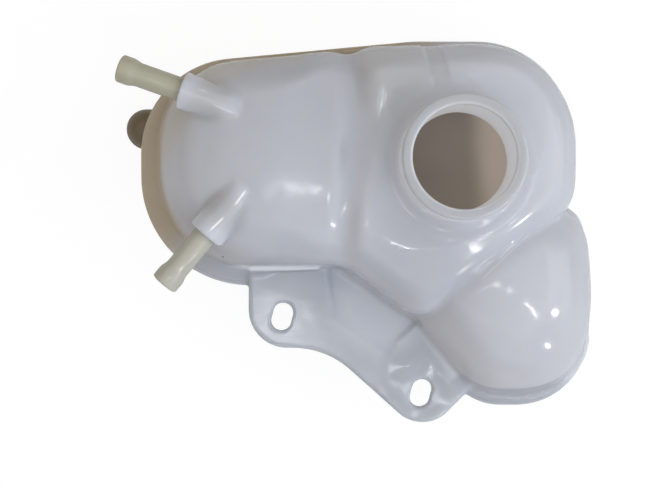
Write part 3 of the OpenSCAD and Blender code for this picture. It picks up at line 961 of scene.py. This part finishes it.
def shell_painted_light(graph):
    """Painted light as emission, standing for light through the wall, and painted highlight lines.
    """
    # Painted light: warm emission over the drum's left end
    glow = graph.spread(graph.along((-1, 0, 0), 60, 130), (0, 0, 0), DRUM_PAINTED_LIGHT, 0, 1)
    # Painted light: emission on the bore's wall
    bore = graph.product(graph.above(90, 94), graph.near((0, 0, 0), 21.8, 22.8))
    glow = graph.mixed(bore, glow, BORE_PAINTED_LIGHT, "ADD")
    # Painted light: emission on the neck's outer side
    neck_side = graph.product(graph.below(117, 121), graph.near((0, 0, 0), 26.0, 31.0))
    glow = graph.mixed(neck_side, glow, NECK_PAINTED_LIGHT, "ADD")
    # Painted highlight: emission along the rolled lip
    roll = graph.near((-76.5, -46.7, 57.7), 0.8, 2.2, (0.06, 1, 1))
    glow = graph.mixed(roll, glow, ROLL_PAINTED_HIGHLIGHT, "ADD")
    high = graph.above(78, 82)
    # Painted highlight lines, laid on as emission
    for a, b, width, bright in PAINTED_HIGHLIGHT_LINES:
        line = graph.product(high, graph.streak(a, b, width))
        glow = graph.mixed(line, glow, (bright, bright, bright * 1.02), "ADD")
    return glow


def shell_plastic():
    """The body's outside: tinted by region, mostly with painted shade and painted light, given
    painted light and painted highlights as emission, and softer in gloss on the drum and the
    bracket.
    """
    material, graph, shader = plastic("translucent_shell", SHELL_COLOURS, (0.08, 0.13),
                                      1.0, 11.0, 260)
    # Where the painted shade lies: the bracket's plate and the low front ledge
    plate = graph.product(graph.below(57, 61), graph.along((-0.5, -1, 0), 66, 80))
    colour = shader.inputs["Base Color"].links[0].from_socket
    for mask, tint in shell_tints(graph, plate):
        colour = graph.mixed(mask, colour, TINTS[tint])
    gloss = shader.inputs["Roughness"].links[0].from_socket
    drum_top = graph.product(graph.above(76, 84), graph.along((-1, 0, 0), 60, 66))
    plate_top = graph.product(plate, graph.along((-1, 0, 0), -8, 2))
    gloss = graph.maths("MULTIPLY_ADD", drum_top, 0.07, gloss)
    gloss = graph.maths("MULTIPLY_ADD", plate_top, 0.04, gloss)
    graph.links.new(colour, shader.inputs["Base Color"])
    graph.links.new(gloss, shader.inputs["Roughness"])
    graph.links.new(shell_painted_light(graph), shader.inputs["Emission Color"])
    shader.inputs["Emission Strength"].default_value = 1.0
    return material


def inside_plastic():
    """The body's inside, dark on the left and lit on the right by painted light: emission that
    stands for light through the wall.
    """
    material, graph, shader = plastic("shell_inside", ((0.52, 0.50, 0.48), (0.58, 0.56, 0.54)),
                                      (0.45, 0.55), 1.0, 9.0, 160)
    # Painted light inside the tank, brighter towards the right
    glow = graph.spread(graph.along((1, 0.1, 0), 12, 34), *INSIDE_PAINTED_LIGHT, 0, 1)
    graph.links.new(glow, shader.inputs["Emission Color"])
    shader.inputs["Emission Strength"].default_value = 1.0
    return material


def cream_plastic():
    """The hose tubes, the lower one made a little paler by painted light."""
    material, graph, shader = plastic("cream_nylon", ((0.475, 0.455, 0.34), (0.535, 0.515, 0.40)),
                                      (0.13, 0.20), 0.5, 2.5, 300)
    colour = shader.inputs["Base Color"].links[0].from_socket
    # Painted light: the lower tube paler
    paler = graph.mixed(graph.along((0, -1, 0), 20, 34), colour, LOWER_TUBE_PAINTED_LIGHT)
    graph.links.new(paler, shader.inputs["Base Color"])
    return material


def outlet_painted_shade_plastic():
    """The outlet elbow, its colour a painted shade: cream nylon painted dark brown, as it looks in
    shade.
    """
    # Painted shade: the elbow's cream nylon coloured dark brown
    return plastic("brown_nylon", ((0.19, 0.145, 0.085), (0.235, 0.185, 0.115)),
                   (0.35, 0.50), 0.2, 1.5, 300)[0]


# Stage, in metres. Lamps on the object's far side: name, azimuth and elevation in degrees, width
# and height, and watts
CAMERA_PLACE, CAMERA_LENS, CAMERA_SENSOR = (-0.0558, -0.0354, 0.572), 60.66, 36
MIDDLE, LAMP_TARGET = (-0.04, -0.03, 0.07), (-0.04, -0.03, 0.06)
FLOOR_HALF, FLOOR_DROP = 3.0, 0.0003
WORLD_DARK, WORLD_LIGHT = (0.15, 0.125, 0.10), (0.38, 0.41, 0.47)
PANE_COLOUR = (0.97, 0.98, 1.0)
PANES = (
    ("pane_tall", -48, 53, (0.014, 0.28), 0.6),
    ("pane_side", -34, 37, (0.07, 0.045), 0.5),
    ("pane_low", -53, 23, (0.045, 0.022), 0.22),
    ("pane_drum", -119, 81, (0.10, 0.05), 0.2),
    ("pane_drum_far", -153, 74, (0.05, 0.24), 0.2),
    ("pane_bracket", -65, 77, (0.07, 0.05), 0.16),
)


def aimed(azimuth, elevation, distance=1.0):
    """The place at a distance from the object in a direction given in degrees."""
    flat = distance * math.cos(math.radians(elevation))
    return (MIDDLE[0] + flat * math.cos(math.radians(azimuth)),
            MIDDLE[1] + flat * math.sin(math.radians(azimuth)),
            MIDDLE[2] + distance * math.sin(math.radians(elevation)))


def lamp(name, place, size, power, colour):
    """A soft rectangular lamp that faces the object."""
    data = bpy.data.lights.new(name, "AREA")
    data.shape = "RECTANGLE"
    data.size, data.size_y = size
    data.energy = power
    data.color = colour
    thing = bpy.data.objects.new(name, data)
    thing.location = place
    bpy.context.scene.collection.objects.link(thing)
    direction = Vector(LAMP_TARGET) - thing.location
    thing.rotation_euler = direction.to_track_quat("-Z", "Y").to_euler()


def add_camera():
    """The camera, straight above a place to the left of the neck."""
    scene = bpy.context.scene
    camera = bpy.data.objects.new("camera", bpy.data.cameras.new("camera"))
    camera.data.lens = CAMERA_LENS
    camera.data.sensor_width = CAMERA_SENSOR
    camera.data.clip_start = 0.01
    camera.location = CAMERA_PLACE
    scene.collection.objects.link(camera)
    scene.camera = camera


def add_floor():
    """A plain white floor, which looks a little brighter than it lights."""
    mesh = bpy.data.meshes.new("floor")
    corners = [(x * FLOOR_HALF, y * FLOOR_HALF, 0) for x, y in ((-1, -1), (1, -1), (1, 1), (-1, 1))]
    mesh.from_pydata(corners, [], [(0, 1, 2, 3)])
    floor = bpy.data.objects.new("floor", mesh)
    floor.location = (0, 0, -FLOOR_DROP)
    bpy.context.scene.collection.objects.link(floor)
    material = bpy.data.materials.new("floor_white")
    graph = Graph(material)
    shader = graph.nodes["Principled BSDF"]
    shader.inputs["Base Color"].default_value = (0.86, 0.86, 0.86, 1)
    shader.inputs["Roughness"].default_value = 0.9
    shader.inputs["Specular IOR Level"].default_value = 0.1
    glow = graph.nodes.new("ShaderNodeEmission")
    glow.inputs["Strength"].default_value = 1.07
    sight = graph.nodes.new("ShaderNodeLightPath").outputs["Is Camera Ray"]
    mix = graph.nodes.new("ShaderNodeMixShader")
    graph.links.new(graph.maths("MULTIPLY", sight, 0.85), mix.inputs["Fac"])
    graph.links.new(shader.outputs["BSDF"], mix.inputs[1])
    graph.links.new(glow.outputs["Emission"], mix.inputs[2])
    graph.links.new(mix.outputs["Shader"], graph.nodes["Material Output"].inputs["Surface"])
    mesh.materials.append(material)


def add_world():
    """A room that is brighter and colder towards the front right, and white behind the object."""
    world = bpy.data.worlds.new("room")
    bpy.context.scene.world = world
    graph = Graph(world)
    back = graph.nodes["Background"]
    place = graph.nodes.new("ShaderNodeTexCoord")
    split = graph.nodes.new("ShaderNodeSeparateXYZ")
    graph.links.new(place.outputs["Generated"], split.inputs["Vector"])
    side = graph.maths("SUBTRACT", split.outputs["X"], split.outputs["Y"])
    colour = graph.spread(side, WORLD_DARK, WORLD_LIGHT, 0.0, 1.0)
    sight = graph.nodes.new("ShaderNodeLightPath").outputs["Is Camera Ray"]
    graph.links.new(graph.mixed(sight, colour, (1, 1, 1)), back.inputs["Color"])
    back.inputs["Strength"].default_value = 1.0


def stage():
    """Camera, floor, world and lamps."""
    bpy.context.scene.view_settings.view_transform = "Standard"
    add_camera()
    add_floor()
    add_world()
    lamp("window", aimed(-4, 32, 1.1), (0.8, 0.8), 2.1, (0.93, 0.96, 1.0))
    lamp("ceiling", (-0.02, 0.02, 1.1), (2.2, 2.2), 9.8, (0.96, 0.98, 1.0))
    for name, azimuth, elevation, size, power in PANES:
        lamp(name, aimed(azimuth, elevation), size, power, PANE_COLOUR)


stage()
shell_material = shell_plastic()
inside_material = inside_plastic()
cream_material = cream_plastic()
outlet_painted_shade_material = outlet_painted_shade_plastic()

body = build_body()
body.data.materials.append(shell_material)
body.data.materials.append(inside_material)
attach(body, "root")
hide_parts("tank_body")

for name, collar in (("upper_spigot", UPPER_COLLAR), ("lower_spigot", LOWER_COLLAR)):
    tube = turned(name.replace("spigot", "hose_tube"), spigot_profile(SPIGOT_L[name]), collar)
    tube.data.materials.append(cream_material)
    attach(tube, "root")
    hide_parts(name)

knee_points, knee_quads = net(elbow, box_axes((-156, 8, 3), (-124, 32, 43), OUTLET_NET_STEP))
knee_points, knee_normals = settle(elbow, knee_points, knee_quads, OUTLET_NET_STEP)
knee = make_object("outlet_knee", knee_points, knee_quads.tolist(), knee_normals)
knee.data.materials.append(outlet_painted_shade_material)
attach(knee, "root")
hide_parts("outlet_elbow")
